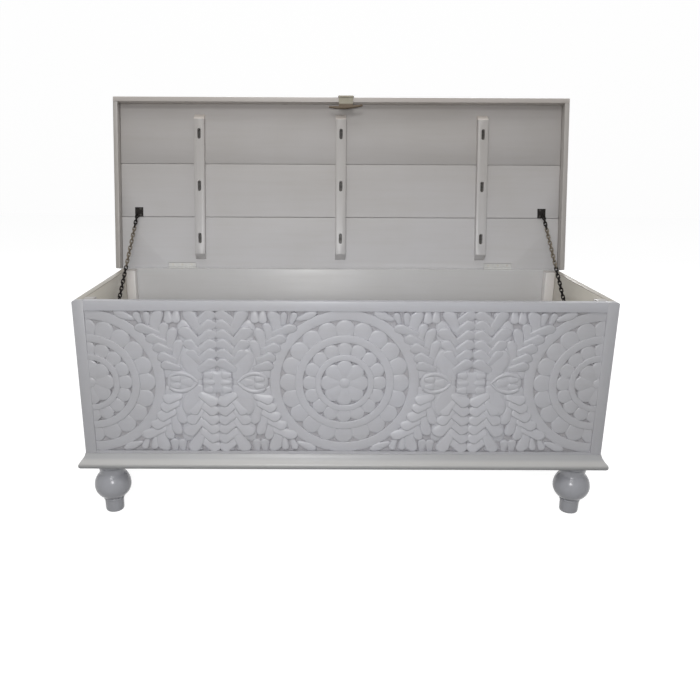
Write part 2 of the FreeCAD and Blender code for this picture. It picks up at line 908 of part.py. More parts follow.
def pull_plate():
    pivot = pull_pivot()
    low_x = pivot.x - pull_plate_width / 2
    high_x = pivot.x + pull_plate_width / 2
    outer_y = lid_outer_front_y - pull_plate_thickness
    plate = block(low_x, high_x, outer_y, lid_outer_front_y, skirt_bottom, skirt_bottom + pull_plate_height)
    tongue_half = pull_knuckle_width / 2 - pull_knuckle_gap
    tongue_edges = (pivot.x - tongue_half, pivot.x + tongue_half)
    tongue = block(*tongue_edges, outer_y, lid_outer_front_y, pivot.z, skirt_bottom)
    barrel = rod(pull_barrel_radius, pivot - X_AXIS * tongue_half, pivot + X_AXIS * tongue_half)
    plate = fused([plate, tongue, barrel]).cut(pull_bore(pivot, pin_clearance))
    return drilled(plate, pull_screw_seats(pull_plate_thickness), Y_AXIS)


def pull_pin():
    pivot = pull_pivot()
    half = pull_plate_width / 2 + pull_knuckle_gap
    shank = rod(pull_pin_radius, pivot - X_AXIS * half, pivot + X_AXIS * half)
    heads = []
    for side in SIDES.values():
        start = pivot + X_AXIS * side * half
        heads.append(rod(pull_pin_head_radius, start, start + X_AXIS * side * pull_pin_head_length))
    return fused([shank] + heads)


def grip_bar(pivot):
    """The bowed grip, thin at its ends and thick in the middle, with its right end a little higher."""
    z = pivot.z - pull_arm_length
    half = grip_length / 2
    places = ((-half, 0, grip_end_radius), (0, -grip_sag, grip_radius), (half, 0, grip_end_radius))
    path_points = [Vector(pivot.x + x, pivot.y, z + drop) for x, drop, radius in places]
    path = Part.Wire([Part.Arc(*path_points).toShape()])
    radius_of_bow = (half**2 + grip_sag**2) / (2 * grip_sag)
    centre = Vector(pivot.x, pivot.y, z - grip_sag + radius_of_bow)
    sections = []
    for point, (x, drop, radius) in zip(path_points, places):
        along = (point - centre).cross(Y_AXIS)
        sections.append(Part.Wire([Part.Circle(point, along, radius).toShape()]))
    shell = Part.BRepOffsetAPI.MakePipeShell(path)
    for section in sections:
        shell.add(section)
    shell.build()
    shell.makeSolid()
    middle = path_points[1]
    half_knob = X_AXIS * (grip_middle_length / 2)
    pieces = [shell.shape(), rod(grip_middle_radius, middle - half_knob, middle + half_knob)]
    for piece in pieces:
        piece.rotate(middle, Y_AXIS, -grip_tilt_angle)
    return pieces


def pull_handle():
    """The handle, hanging plumb from its pin beside the open lid."""
    pivot = opened_point(pull_pivot())
    half = pull_plate_width / 2
    inner = pull_knuckle_width / 2
    pieces = []
    for side in SIDES.values():
        ends = [pivot + X_AXIS * side * inner, pivot + X_AXIS * side * half]
        pieces.append(rod(pull_barrel_radius, *ends))
    thick = pull_arm_thickness / 2
    arm_end = pivot.z - pull_arm_length - grip_sag
    arm = block(pivot.x - half, pivot.x + half, pivot.y - thick, pivot.y + thick, arm_end, pivot.z)
    knuckle_room = pull_barrel_radius + pull_knuckle_gap
    room = rod(knuckle_room, pivot - X_AXIS * inner, pivot + X_AXIS * inner)
    pieces += [arm.cut(room)] + grip_bar(pivot)
    return fused(pieces).cut(pull_bore(pivot, pin_clearance))


# All the pieces


def corner_names():
    for at_back, depth_name in ((False, "front"), (True, "rear")):
        for side_name, side in SIDES.items():
            yield f"{depth_name}_{side_name}", side, at_back


def body_pieces():
    pieces = {
        "front_top_rail": front_rail(panel_top, rim),
        "front_bottom_rail": front_rail(body_bottom, panel_bottom),
        "front_carved_panel": carved_panel(),
        "back_board": back_board(),
        "floor_board": floor_board(),
        "floor_ledger_front": floor_ledger(False),
        "floor_ledger_rear": floor_ledger(True),
        "base_moulding_front": front_moulding(),
    }
    for name, side in SIDES.items():
        pieces[f"front_{name}_stile"] = front_stile(side)
        pieces[f"{name}_side_board"] = side_board(side)
        pieces[f"base_moulding_{name}"] = side_moulding(side)
        pieces[f"box_hinge_leaf_{name}"] = box_hinge_leaf(side)
        pieces[f"chain_wall_anchor_{name}"] = wall_anchor(side)
    for name, side, at_back in corner_names():
        pieces[f"corner_post_{name}"] = corner_post(side, at_back)
        pieces[f"foot_block_{name}"] = foot_block(side, at_back)
        pieces[f"foot_{name}"] = foot(side, at_back)
    screws = []
    for side in SIDES.values():
        screws += [countersunk_screw(seat, -Z_AXIS) for seat in hinge_screw_seats(side, rim)]
        screws += [countersunk_screw(seat, X_AXIS * side) for seat in wall_screw_seats(side)]
    pieces["box_fitting_screws"] = Part.makeCompound(screws)
    return pieces


def lid_pieces():
    pieces = {f"lid_plank_{name}": lid_plank(name) for name in plank_edges()}
    pieces["lid_skirt_front"] = front_skirt()
    for name, centre in (("left", -batten_spacing), ("middle", 0), ("right", batten_spacing)):
        pieces[f"lid_batten_{name}"] = batten(centre)
    pieces["batten_screws"] = Part.makeCompound([batten_screw(seat) for seat in batten_screw_seats()])
    pieces["pull_plate"] = pull_plate()
    pieces["pull_pin"] = pull_pin()
    pull_seats = pull_screw_seats(pull_plate_thickness)
    pieces["pull_screws"] = Part.makeCompound([countersunk_screw(seat, Y_AXIS) for seat in pull_seats])
    screws = []
    for name, side in SIDES.items():
        pieces[f"lid_skirt_{name}"] = side_skirt(side)
        pieces[f"lid_hinge_leaf_{name}"] = lid_hinge_leaf(side)
        pieces[f"hinge_pin_{name}"] = hinge_pin(side)
        pieces[f"chain_lid_plate_{name}"] = lid_chain_plate(side)
        seats = hinge_screw_seats(side, plank_bottom) + lid_plate_screw_seats(side)
        screws += [countersunk_screw(seat, Z_AXIS) for seat in seats]
    pieces["lid_fitting_screws"] = Part.makeCompound(screws)
    return {name: opened(shape) for name, shape in pieces.items()}


def hanging_pieces():
    pieces = {f"chain_stretch_{index + 1}": chain_stretch(index) for index in range(stretch_count)}
    pieces["pull_handle"] = pull_handle()
    return pieces


os.makedirs("parts", exist_ok=True)
for name, shape in {**body_pieces(), **lid_pieces(), **hanging_pieces()}.items():
    shape.exportStep(f"parts/{name}.step")
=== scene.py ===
import json
import math
import random

import bmesh
import bpy
from mathutils import Matrix, Vector


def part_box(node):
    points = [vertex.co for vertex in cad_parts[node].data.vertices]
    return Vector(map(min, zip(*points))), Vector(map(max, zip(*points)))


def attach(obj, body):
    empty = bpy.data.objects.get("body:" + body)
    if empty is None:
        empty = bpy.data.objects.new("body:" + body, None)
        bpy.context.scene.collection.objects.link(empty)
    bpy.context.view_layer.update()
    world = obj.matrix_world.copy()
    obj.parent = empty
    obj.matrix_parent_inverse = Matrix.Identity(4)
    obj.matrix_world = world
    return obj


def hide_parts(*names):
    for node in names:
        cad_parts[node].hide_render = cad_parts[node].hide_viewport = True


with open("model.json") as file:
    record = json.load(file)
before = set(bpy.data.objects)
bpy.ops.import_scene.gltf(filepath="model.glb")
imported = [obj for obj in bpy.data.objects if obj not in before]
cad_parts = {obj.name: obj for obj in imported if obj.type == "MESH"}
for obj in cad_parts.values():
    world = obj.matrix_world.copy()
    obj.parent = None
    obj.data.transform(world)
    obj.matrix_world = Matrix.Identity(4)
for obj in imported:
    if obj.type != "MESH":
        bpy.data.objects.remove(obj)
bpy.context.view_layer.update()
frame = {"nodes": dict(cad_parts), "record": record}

# Sizes of the trunk in metres, read from the solids
mm = 0.001
rail_low, rail_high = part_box("front_top_rail")
front_face = rail_low.y
rim = rail_high.z
panel_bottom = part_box("front_bottom_rail")[1].z
panel_top = rail_low.z
panel_half_width = rail_high.x
panel_middle = (panel_bottom + panel_top) / 2
half_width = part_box("right_side_board")[1].x


# Small helpers for selecting and shaping

near = 0.2 * mm
merge_distance = 0.002 * mm
flat_angle = math.radians(0.5)
sharp_angle = math.radians(40)
shortest_eased_edge = 9 * mm


def deselect_all():
    if bpy.context.object and bpy.context.object.mode != "OBJECT":
        bpy.ops.object.mode_set(mode="OBJECT")
    bpy.ops.object.select_all(action="DESELECT")


def make_active(piece):
    deselect_all()
    piece.select_set(True)
    bpy.context.view_layer.objects.active = piece


def into_edit(piece, mode="EDGE"):
    make_active(piece)
    bpy.ops.object.mode_set(mode="EDIT")
    bpy.ops.mesh.select_mode(type=mode)
    bpy.ops.mesh.select_all(action="DESELECT")


def out_of_edit():
    bpy.ops.object.mode_set(mode="OBJECT")


def select_long_sharp_edges(piece):
    """Selects the edges that a plane would ease: sharp and longer than a screw hole's facets."""
    mesh = bmesh.from_edit_mesh(piece.data)
    for edge in mesh.edges:
        sharp = len(edge.link_faces) == 2 and edge.calc_face_angle() > sharp_angle
        edge.select_set(sharp and edge.calc_length() > shortest_eased_edge)
    mesh.select_flush_mode()
    bmesh.update_edit_mesh(piece.data)


def round_corner(piece, radius):
    """Rounds the outer top edge of a board of the box."""
    mesh = bmesh.from_edit_mesh(piece.data)
    for edge in mesh.edges:
        outer = all(abs(vertex.co.x) > half_width - near for vertex in edge.verts)
        edge.select_set(outer and all(vertex.co.z > rim - near for vertex in edge.verts))
    mesh.select_flush_mode()
    bmesh.update_edit_mesh(piece.data)
    bpy.ops.mesh.bevel(offset=radius, segments=4, affect="EDGES")
    bpy.ops.mesh.select_all(action="DESELECT")


def select_verts(piece, wanted):
    """Selects the points of the piece in edit mode whose place is wanted."""
    mesh = bmesh.from_edit_mesh(piece.data)
    for vertex in mesh.verts:
        vertex.select_set(wanted(vertex.co))
    mesh.select_flush_mode()
    bmesh.update_edit_mesh(piece.data)


def smooth_by_angle(piece, degrees=35):
    make_active(piece)
    bpy.ops.object.shade_smooth_by_angle(angle=math.radians(degrees))


def joined(name, pieces):
    """All the pieces as one, with soft shading."""
    deselect_all()
    for piece in pieces:
        piece.select_set(True)
    bpy.context.view_layer.objects.active = pieces[0]
    bpy.ops.object.join()
    whole = bpy.context.object
    whole.name = name
    smooth_by_angle(whole, 45)
    return whole


def dress(piece, material, body, slot, *nodes):
    """Gives a finished piece its material and the body it rides on, and hides the nodes that it stands
    for.
    """
    piece.data.materials.clear()
    piece.data.materials.append(material)
    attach(piece, body)
    if nodes:
        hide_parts(*nodes)
    return piece


def eased_copy(node, ease, corner_radius=0):
    """A board with the shape of its solid and its long edges eased as with a plane."""
    mesh = frame["nodes"][node].data.copy()
    piece = bpy.data.objects.new(node + "_eased", mesh)
    bpy.context.scene.collection.objects.link(piece)
    into_edit(piece)
    bpy.ops.mesh.select_all(action="SELECT")
    bpy.ops.mesh.customdata_custom_splitnormals_clear()
    bpy.ops.mesh.remove_doubles(threshold=merge_distance)
    bpy.ops.mesh.dissolve_limited(angle_limit=flat_angle)
    bpy.ops.mesh.select_all(action="DESELECT")
    if corner_radius:
        round_corner(piece, corner_radius)
    select_long_sharp_edges(piece)
    bpy.ops.mesh.bevel(offset=ease, segments=2, affect="EDGES")
    out_of_edit()
    smooth_by_angle(piece)
    return piece


# Material helpers


def add_node(tree, kind, inputs=None, **settings):
    node = tree.nodes.new(kind)
    for name, value in settings.items():
        setattr(node, name, value)
    for name, value in (inputs or {}).items():
        node.inputs[name].default_value = value
    return node


def link(tree, start, end):
    tree.links.new(start, end)


def new_group(name, inputs, outputs):
    """An empty node group with named inputs and outputs, as (name, socket kind, default)."""
    group = bpy.data.node_groups.new(name, "ShaderNodeTree")
    for label, kind, default in inputs:
        socket = group.interface.new_socket(name=label, in_out="INPUT", socket_type=kind)
        socket.default_value = default
    for label, kind in outputs:
        group.interface.new_socket(name=label, in_out="OUTPUT", socket_type=kind)
    return group, group.nodes.new("NodeGroupInput"), group.nodes.new("NodeGroupOutput")


def new_material(name):
    material = bpy.data.materials.new(name)
    material.use_nodes = True
    tree = material.node_tree
    shader = tree.nodes["Principled BSDF"]
    return material, tree, shader


def object_place(tree, scale=(1, 1, 1)):
    """Object coordinates, stretched along the grain by the scale."""
    place = add_node(tree, "ShaderNodeTexCoord")
    mapping = add_node(tree, "ShaderNodeMapping", {"Scale": scale})
    link(tree, place.outputs["Object"], mapping.inputs["Vector"])
    return mapping.outputs["Vector"]


FLOAT = "NodeSocketFloat"
COLOR = "NodeSocketColor"
VECTOR = "NodeSocketVector"


def brushed_paint_group():
    """Paint laid on by brush over planed wood: cloudy colour, brush lines and a low grain relief."""
    inputs = [
        ("Place", VECTOR, (0, 0, 0)),
        ("Along Grain", VECTOR, (0, 0, 0)),
        ("Paint", COLOR, (0.5, 0.5, 0.5, 1)),
        ("Thin Paint", COLOR, (0.45, 0.44, 0.42, 1)),
    ]
    outputs = [("Color", COLOR), ("Roughness", FLOAT), ("Height", FLOAT)]
    group, source, sink = new_group("brushed_paint", inputs, outputs)
    clouds = add_node(group, "ShaderNodeTexNoise", {"Scale": 7.0, "Detail": 4.0, "Roughness": 0.55})
    link(group, source.outputs["Place"], clouds.inputs["Vector"])
    strokes = add_node(group, "ShaderNodeTexNoise", {"Scale": 90.0, "Detail": 5.0, "Roughness": 0.65})
    link(group, source.outputs["Along Grain"], strokes.inputs["Vector"])
    grain = add_node(group, "ShaderNodeTexNoise", {"Scale": 28.0, "Detail": 3.0, "Distortion": 0.6})
    link(group, source.outputs["Along Grain"], grain.inputs["Vector"])
    cloudy = add_node(group, "ShaderNodeMapRange", {"From Min": 0.35, "From Max": 0.7, "To Max": 0.45})
    link(group, clouds.outputs["Fac"], cloudy.inputs["Value"])
    streaky = add_node(group, "ShaderNodeMapRange", {"From Min": 0.45, "From Max": 0.75, "To Max": 0.4})
    link(group, strokes.outputs["Fac"], streaky.inputs["Value"])
    thin = add_node(group, "ShaderNodeMath", operation="ADD", use_clamp=True)
    link(group, cloudy.outputs["Result"], thin.inputs[0])
    link(group, streaky.outputs["Result"], thin.inputs[1])
    colour = add_node(group, "ShaderNodeMix", data_type="RGBA")
    link(group, thin.outputs["Value"], colour.inputs["Factor"])
    link(group, source.outputs["Paint"], colour.inputs["A"])
    link(group, source.outputs["Thin Paint"], colour.inputs["B"])
    gloss = add_node(group, "ShaderNodeMapRange", {"To Min": 0.26, "To Max": 0.44})
    link(group, strokes.outputs["Fac"], gloss.inputs["Value"])
    relief = add_node(group, "ShaderNodeMath", operation="ADD")
    link(group, strokes.outputs["Fac"], relief.inputs[0])
    link(group, grain.outputs["Fac"], relief.inputs[1])
    link(group, colour.outputs["Result"], sink.inputs["Color"])
    link(group, gloss.outputs["Result"], sink.inputs["Roughness"])
    link(group, relief.outputs["Value"], sink.inputs["Height"])
    return group


brushed_paint = brushed_paint_group()

# Paints by place, each with its colour where it lies thin. All are copies of one off-white paint; the
# lighter and darker copies paint light and shade onto the parts they cover.

outside_paint = (0.543, 0.545, 0.58, 1)
outside_thin = (0.5, 0.495, 0.513, 1)
# Stile paint, a darker copy of the outside paint: painted shade towards the ends of the front
stile_paint = (0.482, 0.482, 0.505, 1)
stile_thin = (0.444, 0.438, 0.447, 1)
# Low rail paint, a darker copy: painted shade along the bottom of the front
low_rail_paint = (0.465, 0.465, 0.49, 1)
low_rail_thin = (0.43, 0.425, 0.44, 1)
base_paint = (0.55, 0.545, 0.535, 1)
base_thin = (0.51, 0.5, 0.48, 1)
# Paint of the turned feet, a darker copy: painted shade on the feet
turned_paint = (0.42, 0.425, 0.455, 1)
turned_thin = (0.385, 0.385, 0.405, 1)
# Inside paint, a lighter and warmer copy: painted light inside the box
inside_paint = (0.605, 0.6, 0.6, 1)
inside_thin = (0.555, 0.545, 0.535, 1)
# Lid paint, a lighter copy: painted light on the inside of the lid
lid_paint = (0.605, 0.6, 0.615, 1)
lid_thin = (0.56, 0.55, 0.545, 1)
# Batten paint, a lighter copy: painted light on the battens
batten_paint = (0.59, 0.583, 0.59, 1)
batten_thin = (0.55, 0.54, 0.535, 1)
# Paints of the lid skirts, darker and warmer copies of the lid paint: painted shade on the skirts
skirt_paint = (0.445, 0.42, 0.395, 1)
skirt_thin = (0.4, 0.375, 0.35, 1)
front_skirt_paint = (0.56, 0.52, 0.49, 1)
front_skirt_thin = (0.52, 0.475, 0.44, 1)
# Corner post paint, a much lighter and warmer copy: painted light on the posts inside the box
post_paint = (0.72, 0.695, 0.675, 1)
post_thin = (0.665, 0.635, 0.61, 1)


def tinted(tree, colour, axis, start, end, tint):
    """The colour times a tint that grows from start to end along an axis, on X to both sides."""
    spot = add_node(tree, "ShaderNodeSeparateXYZ")
    link(tree, object_place(tree), spot.inputs["Vector"])
    place = spot.outputs[axis]
    if axis == "X":
        distance = add_node(tree, "ShaderNodeMath", operation="ABSOLUTE")
        link(tree, place, distance.inputs[0])
        place = distance.outputs["Value"]
    share = add_node(tree, "ShaderNodeMapRange", {"From Min": start, "From Max": end})
    link(tree, place, share.inputs["Value"])
    mixed = add_node(tree, "ShaderNodeMix", {"B": (*tint, 1)}, data_type="RGBA", blend_type="MULTIPLY")
    link(tree, share.outputs["Result"], mixed.inputs["Factor"])
    link(tree, colour, mixed.inputs["A"])
    return mixed.outputs["Result"]


brush_stretch = 0.05
paint_relief_depth = 0.6 * mm
paint_specular = 0.45


def painted_wood(name, grain_axis, paint, thin_paint, tints=(), relief=0.12, polish=0.0):
    """Semi-gloss paint whose brush lines run along one axis of the board, with tints that paint light and
    shade onto parts of it.

    Polish is taken from the roughness, so a negative one dulls the paint.
    """
    material, tree, shader = new_material(name)
    stretch = [1.0, 1.0, 1.0]
    stretch["XYZ".index(grain_axis)] = brush_stretch
    effect = add_node(tree, "ShaderNodeGroup", node_tree=brushed_paint)
    effect.inputs["Paint"].default_value = paint
    effect.inputs["Thin Paint"].default_value = thin_paint
    link(tree, object_place(tree), effect.inputs["Place"])
    link(tree, object_place(tree, stretch), effect.inputs["Along Grain"])
    bump = add_node(tree, "ShaderNodeBump", {"Strength": relief, "Distance": paint_relief_depth})
    link(tree, effect.outputs["Height"], bump.inputs["Height"])
    colour = effect.outputs["Color"]
    for tint in tints:
        colour = tinted(tree, colour, *tint)
    link(tree, colour, shader.inputs["Base Color"])
    polished = add_node(tree, "ShaderNodeMath", operation="SUBTRACT")
    link(tree, effect.outputs["Roughness"], polished.inputs[0])
    polished.inputs[1].default_value = polish
    link(tree, polished.outputs["Value"], shader.inputs["Roughness"])
    link(tree, bump.outputs["Normal"], shader.inputs["Normal"])
    shader.inputs["Specular IOR Level"].default_value = paint_specular
    return material


roughness_swing = 0.12
pitting_strength = 0.15
pitting_depth = 0.3 * mm


def metal(name, colour, mottle_colour, roughness, metallic, tints=(), specular=0.5):
    """Worn metal with a mottled finish, and tints where it is another colour."""
    material, tree, shader = new_material(name)
    place = object_place(tree)
    mottle = add_node(tree, "ShaderNodeTexNoise", {"Scale": 160.0, "Detail": 5.0, "Roughness": 0.6})
    link(tree, place, mottle.inputs["Vector"])
    mixed = add_node(tree, "ShaderNodeMix", {"A": colour, "B": mottle_colour}, data_type="RGBA")
    link(tree, mottle.outputs["Fac"], mixed.inputs["Factor"])
    smoothest, roughest = roughness - roughness_swing, roughness + roughness_swing
    gloss = add_node(tree, "ShaderNodeMapRange", {"To Min": smoothest, "To Max": roughest})
    link(tree, mottle.outputs["Fac"], gloss.inputs["Value"])
    bump = add_node(tree, "ShaderNodeBump", {"Strength": pitting_strength, "Distance": pitting_depth})
    link(tree, mottle.outputs["Fac"], bump.inputs["Height"])
    finish = mixed.outputs["Result"]
    for tint in tints:
        finish = tinted(tree, finish, *tint)
    link(tree, finish, shader.inputs["Base Color"])
    link(tree, gloss.outputs["Result"], shader.inputs["Roughness"])
    link(tree, bump.outputs["Normal"], shader.inputs["Normal"])
    shader.inputs["Metallic"].default_value = metallic
    shader.inputs["Specular IOR Level"].default_value = specular
    return material


# Tints as axis, start, end and the colour that the end is multiplied by

moulding_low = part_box("base_moulding_front")[0].z
# The moulding darker along its underside and in its cove: painted shade
underside_painted_shade = ("Z", moulding_low + 13 * mm, moulding_low + 6 * mm, (0.58, 0.59, 0.61))
cove_painted_shade = ("Z", moulding_low + 19 * mm, moulding_low + 25 * mm, (0.82, 0.83, 0.86))
base_tints = [underside_painted_shade, cove_painted_shade]
# The carving darker in its deep recesses near the ground: painted shade
recess_painted_shade = ("Y", front_face + 7.4 * mm, front_face + 9.0 * mm, (0.8, 0.785, 0.78))
# The carving darker towards both ends of the panel: painted shade
end_shade_start, end_shade_end = 0.36, 0.58
end_painted_shade = ("X", end_shade_start, end_shade_end, (0.91, 0.905, 0.89))
# Top edges of the side boards and corner posts darker: painted shade
top_edge_painted_shade = ("Z", rim - 2.5 * mm, rim - 1.5 * mm, (0.6, 0.585, 0.57))
# Inner faces of the side boards lighter and warmer: painted light
inside_painted_light = ("X", half_width - 1 * mm, half_width - 3 * mm, (1.36, 1.29, 1.08))
# The lid darker towards its top in two steps: painted shade
lid_low, lid_middle, lid_high = 0.48, 0.8, 0.95
lid_low_painted_shade = ("Z", lid_low, lid_middle, (0.83, 0.805, 0.77))
lid_high_painted_shade = ("Z", lid_middle, lid_high, (0.94, 0.93, 0.92))
lid_tints = [lid_low_painted_shade, lid_high_painted_shade]
batten_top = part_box("lid_batten_middle")[1].z
# The top ends of the battens lighter: painted light
batten_end_painted_light = ("Z", batten_top - 13 * mm, batten_top - 10 * mm, (1.5, 1.45, 1.4))
batten_tints = lid_tints + [batten_end_painted_light]
# Screws farther out than the hinges hold the chain plates
hinge_reach, chain_reach = 0.49, 0.52
chain_side = ("X", hinge_reach, chain_reach, (0.05, 0.045, 0.04))
grip_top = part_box("pull_handle")[0].z + 14 * mm
grip_side = ("Z", grip_top + 1 * mm, grip_top - 1 * mm, (0.36, 0.28, 0.22))

# Finishes of the wood

# Near-black colours of the plates in the batten slots: painted shadow over the bare wood there
slot_shadow_on_wood = (0.05, 0.045, 0.04, 1)
slot_shadow_mottle = (0.08, 0.07, 0.06, 1)
carved_tints = [recess_painted_shade, end_painted_shade]
side_tints = [inside_painted_light, top_edge_painted_shade]
paint_long = painted_wood("outside_paint_long", "X", outside_paint, outside_thin)
paint_upright = painted_wood("outside_paint_upright", "Z", stile_paint, stile_thin, relief=0.02)
base_long = painted_wood("base_paint_long", "X", base_paint, base_thin, base_tints)
base_deep = painted_wood("base_paint_deep", "Y", base_paint, base_thin, base_tints)
carved_paint = painted_wood("carved_paint", "X", outside_paint, outside_thin, carved_tints, relief=0.15)
low_rail_long = painted_wood("low_rail_paint", "X", low_rail_paint, low_rail_thin)
paint_inside_long = painted_wood("inside_paint_long", "X", inside_paint, inside_thin)
foot_paint = painted_wood("foot_paint", "Z", turned_paint, turned_thin, polish=0.12)
post_upright = painted_wood("post_paint", "Z", post_paint, post_thin, [top_edge_painted_shade])
paint_sides = painted_wood("side_board_paint", "Y", outside_paint, outside_thin, side_tints)
lid_long = painted_wood("lid_paint_long", "X", lid_paint, lid_thin, lid_tints, polish=-0.2)
batten_upright = painted_wood("batten_paint_upright", "Z", batten_paint, batten_thin, batten_tints)
skirt_long = painted_wood("skirt_paint_long", "X", front_skirt_paint, front_skirt_thin)
skirt_upright = painted_wood("skirt_paint_upright", "Z", skirt_paint, skirt_thin)
# Paint of the slot plates: painted shadow
slot_shadow_wood_paint = painted_wood("slot_shadow_on_bare_wood", "Z", slot_shadow_on_wood, slot_shadow_mottle)

# Finishes of the metal, each in two colours that mottle it

overpaint, overpaint_shade = (0.61, 0.605, 0.59, 1), (0.44, 0.435, 0.42, 1)
black, black_bloom = (0.009, 0.008, 0.008, 1), (0.02, 0.017, 0.015, 1)
# Black iron mottled with pale beige: painted sheen on the middle of the chains
iron, iron_painted_sheen = (0.03, 0.026, 0.02, 1), (0.26, 0.215, 0.155, 1)
# Near-black colours of the screws in the batten slots: painted shade in the slots
slot_black, slot_shade_mottle = (0.03, 0.027, 0.025, 1), (0.06, 0.055, 0.05, 1)
brass, brass_shade = (0.36, 0.33, 0.26, 1), (0.27, 0.245, 0.185, 1)
bronze, bronze_wear = (0.06, 0.04, 0.026, 1), (0.14, 0.1, 0.06, 1)
screw_steel, screw_shade = (0.6, 0.58, 0.54, 1), (0.42, 0.4, 0.36, 1)
hinge_steel = metal("overpainted_hinge_steel", overpaint, overpaint_shade, roughness=0.4, metallic=0.1)
black_iron = metal("black_iron", black, black_bloom, roughness=0.5, metallic=0.1, specular=0.12)
chain_painted_sheen = metal("chain_painted_sheen", iron, iron_painted_sheen, roughness=0.42, metallic=0.3)
# Screws in the batten slots, near black: painted shade
slot_screws_painted_shade = metal("slot_screws_painted_shade", slot_black, slot_shade_mottle, roughness=0.5, metallic=0.3)
aged_brass = metal("aged_brass", brass, brass_shade, roughness=0.5, metallic=0.1)
pull_finish = metal("pull_bronze", brass, brass_shade, roughness=0.5, metallic=0.1, tints=[grip_side])
dark_bronze = metal("dark_bronze", bronze, bronze_wear, roughness=0.38, metallic=0.7)
fitting_screws = metal(
    "fitting_screws", screw_steel, screw_shade, roughness=0.4, metallic=0.2, tints=[chain_side]
)


# Boards of the box and the lid

box_boards = {
    "front_top_rail": paint_long,
    "front_bottom_rail": low_rail_long,
    "front_left_stile": paint_upright,
    "front_right_stile": paint_upright,
    "left_side_board": paint_sides,
    "right_side_board": paint_sides,
    "back_board": paint_inside_long,
    "floor_board": paint_inside_long,
    "floor_ledger_front": paint_inside_long,
    "floor_ledger_rear": paint_inside_long,
    "base_moulding_front": base_long,
    "base_moulding_left": base_deep,
    "base_moulding_right": base_deep,
}
for depth_name in ("front", "rear"):
    for side_name in ("left", "right"):
        box_boards[f"corner_post_{depth_name}_{side_name}"] = post_upright
        box_boards[f"foot_block_{depth_name}_{side_name}"] = paint_inside_long
lid_boards = {
    "lid_plank_rear": lid_long,
    "lid_plank_middle": lid_long,
    "lid_plank_front": lid_long,
    "lid_skirt_front": skirt_long,
    "lid_skirt_left": skirt_upright,
    "lid_skirt_right": skirt_upright,
    "lid_batten_left": batten_upright,
    "lid_batten_middle": batten_upright,
    "lid_batten_right": batten_upright,
}
corner_radius = 5 * mm
close_ease, plain_ease, open_ease = 0.5 * mm, 1.2 * mm, 2.0 * mm
rounded_boards = ("front_left_stile", "front_right_stile", "left_side_board", "right_side_board")
close_joints = ("front_top_rail", "front_bottom_rail", "front_left_stile", "front_right_stile")
open_joints = ("lid_plank_rear", "lid_plank_middle", "lid_plank_front")
edge_eases = {**dict.fromkeys(close_joints, close_ease), **dict.fromkeys(open_joints, open_ease)}
for body, boards in (("box", box_boards), ("lid", lid_boards)):
    for node, material in boards.items():
        radius = corner_radius if node in rounded_boards else 0
        board = eased_copy(node, edge_eases.get(node, plain_ease), radius)
        dress(board, material, body, "painted_wood", node)

# Dark plates on the floors of the slots in the battens: painted shadow over the bare wood there

pin_behind_back, pin_above_rim = 3.5 * mm, 0.3 * mm
hinge_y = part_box("back_board")[1].y + pin_behind_back
hinge_z = rim + pin_above_rim
open_degrees = 102
lid_turn = Matrix.Rotation(math.radians(-open_degrees), 4, "X")
batten_rear = 22.5 * mm
batten_length = 391.5 * mm
slot_shares = (0.145, 0.505, 0.86)
slot_length, slot_width, slot_floor = 28 * mm, 9 * mm, 6.7 * mm
shadow_plate_play, shadow_plate_thickness = 0.1 * mm, 0.4 * mm
shadow_plate_facets = 24
off_middle = 0.01 * mm


def slot_shadow_plates(name, batten):
    """Thin dark plates with round ends, one on the floor of each slot of a batten, painting the shadow in
    the slot over its bare wood.
    """
    low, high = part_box(batten)
    deselect_all()
    radius = slot_width / 2 - shadow_plate_play
    bpy.ops.mesh.primitive_circle_add(vertices=shadow_plate_facets, radius=radius, fill_type="NGON")
    plate = bpy.context.object
    into_edit(plate, "VERT")
    stretch = (slot_length - slot_width) / 2
    for side in (-1, 1):
        select_verts(plate, lambda place: side * place.y > off_middle)
        bpy.ops.transform.translate(value=(0, side * stretch, 0))
    bpy.ops.mesh.select_all(action="SELECT")
    bpy.ops.mesh.extrude_region_move(TRANSFORM_OT_translate={"value": (0, 0, -shadow_plate_thickness)})
    bpy.ops.mesh.select_all(action="SELECT")
    bpy.ops.mesh.normals_make_consistent(inside=False)
    out_of_edit()
    plates = []
    for share in slot_shares:
        copy = bpy.data.objects.new(name, plate.data.copy())
        bpy.context.scene.collection.objects.link(copy)
        copy.data.transform(Matrix.Translation((0, -batten_rear - share * batten_length, -slot_floor)))
        copy.data.transform(Matrix.Translation(((low.x + high.x) / 2, hinge_y, hinge_z)) @ lid_turn)
        plates.append(copy)
    bpy.data.objects.remove(plate)
    return joined(name, plates)


for side_name in ("left", "middle", "right"):
    slot_shadow_piece = slot_shadow_plates(f"batten_slot_shadow_{side_name}", f"lid_batten_{side_name}")
    dress(slot_shadow_piece, slot_shadow_wood_paint, "lid", "painted_wood")

# Turned feet

